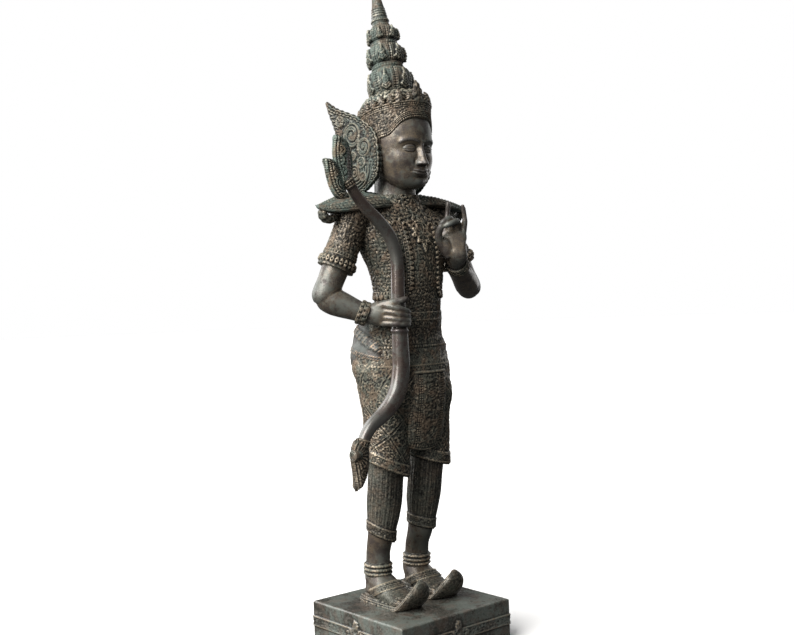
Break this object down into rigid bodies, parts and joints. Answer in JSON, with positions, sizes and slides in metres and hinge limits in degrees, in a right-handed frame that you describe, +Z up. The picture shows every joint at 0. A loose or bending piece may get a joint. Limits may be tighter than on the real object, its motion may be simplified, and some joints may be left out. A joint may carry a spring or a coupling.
{
  "type": "bronze archer statue",
  "caption": "Standing bronze archer in ornate court dress with a tall tiered crown, holding a bow upright, on a low square plinth.",
  "frame": {"origin": "middle of the plinth's underside", "axes": "+Z up, the figure faces -Y, its left hand is towards +X"},
  "size_m": [0.5737, 0.388, 1.8003],
  "materials": {
    "figure_bronze": "dark cast bronze, bare skin polished brown-black, dress dull with ochre dust in the hollows, crown green with verdigris",
    "bow_bronze": "smooth dark brown bronze, rubbed shiny, with green patina on the carved ends",
    "plinth_bronze": "dark green-grey bronze, worn paler on its top and edges"
  },
  "bodies": {
    "root": {"figure": "figure_bronze", "bow": "bow_bronze", "plinth": "plinth_bronze"}
  },
  "joints": []
}
